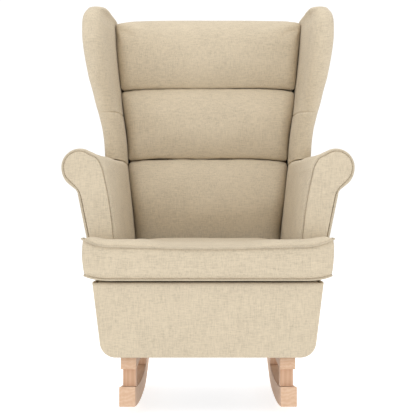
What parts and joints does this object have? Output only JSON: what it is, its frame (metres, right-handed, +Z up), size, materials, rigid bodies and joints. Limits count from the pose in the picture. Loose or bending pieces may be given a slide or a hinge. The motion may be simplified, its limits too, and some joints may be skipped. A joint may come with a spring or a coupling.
{
  "type": "rocking armchair",
  "caption": "Upholstered wing-back nursery armchair on curved wooden rocker runners, with rolled arms, a channelled back and a loose T-shaped seat cushion",
  "frame": {"origin": "on the floor, under the middle of the chair's bounding box, midway between the runners", "axes": "+Z up; -Y the way a sitter faces, so +Y is towards the back; +X across the chair, to the right of someone who stands in front of it and looks at it"},
  "size_m": [0.712, 0.8671, 1.021],
  "materials": {
    "linen": "matte",
    "foam": "matte",
    "beech": "satin",
    "frame_timber": "matte",
    "steel": "satin",
    "webbing": "matte",
    "underlining": "matte",
    "zip_plastic": "matte"
  },
  "bodies": {
    "chair": {"runner_left": "beech", "bearer_left": "beech", "front_leg_left": "beech", "rear_leg_left": "beech", "base_bolt_left_front": "steel", "base_bolt_left_rear": "steel", "seat_rail_left": "frame_timber", "back_post_left": "frame_timber", "back_bolt_left": "steel", "arm_board_left": "frame_timber", "wing_board_left": "frame_timber", "arm_pad_left": "linen", "arm_front_panel_left": "linen", "arm_piping_left": "linen", "outside_arm_left": "linen", "side_panel_left": "linen", "wing_pad_left": "linen", "runner_right": "beech", "bearer_right": "beech", "front_leg_right": "beech", "rear_leg_right": "beech", "base_bolt_right_front": "steel", "base_bolt_right_rear": "steel", "seat_rail_right": "frame_timber", "back_post_right": "frame_timber", "back_bolt_right": "steel", "arm_board_right": "frame_timber", "wing_board_right": "frame_timber", "arm_pad_right": "linen", "arm_front_panel_right": "linen", "arm_piping_right": "linen", "outside_arm_right": "linen", "side_panel_right": "linen", "wing_pad_right": "linen", "seat_rail_front": "frame_timber", "seat_rail_rear": "frame_timber", "back_rail_top": "frame_timber", "back_rail_middle": "frame_timber", "back_rail_lower": "frame_timber", "seat_spring_1": "steel", "seat_spring_2": "steel", "seat_spring_3": "steel", "seat_spring_4": "steel", "spring_strip_front": "steel", "spring_strip_rear": "steel", "dust_cover": "underlining", "back_webbing": "webbing", "seat_deck": "linen", "front_panel": "linen", "outside_back": "linen", "back_cushion_bottom": "linen", "back_cushion_middle": "linen", "back_cushion_top": "linen"},
    "loose_cushion": {"seat_cushion_core": "foam", "seat_cushion_cover": "linen", "cushion_piping_bottom": "linen", "cushion_piping_top": "linen", "cushion_zip": "zip_plastic"}
  },
  "joints": [
    {"name": "seat_cushion_lift", "type": "slide", "parent": "chair", "child": "loose_cushion", "axis": [0, 0, 1], "range_m": [0, 0.25]}
  ]
}
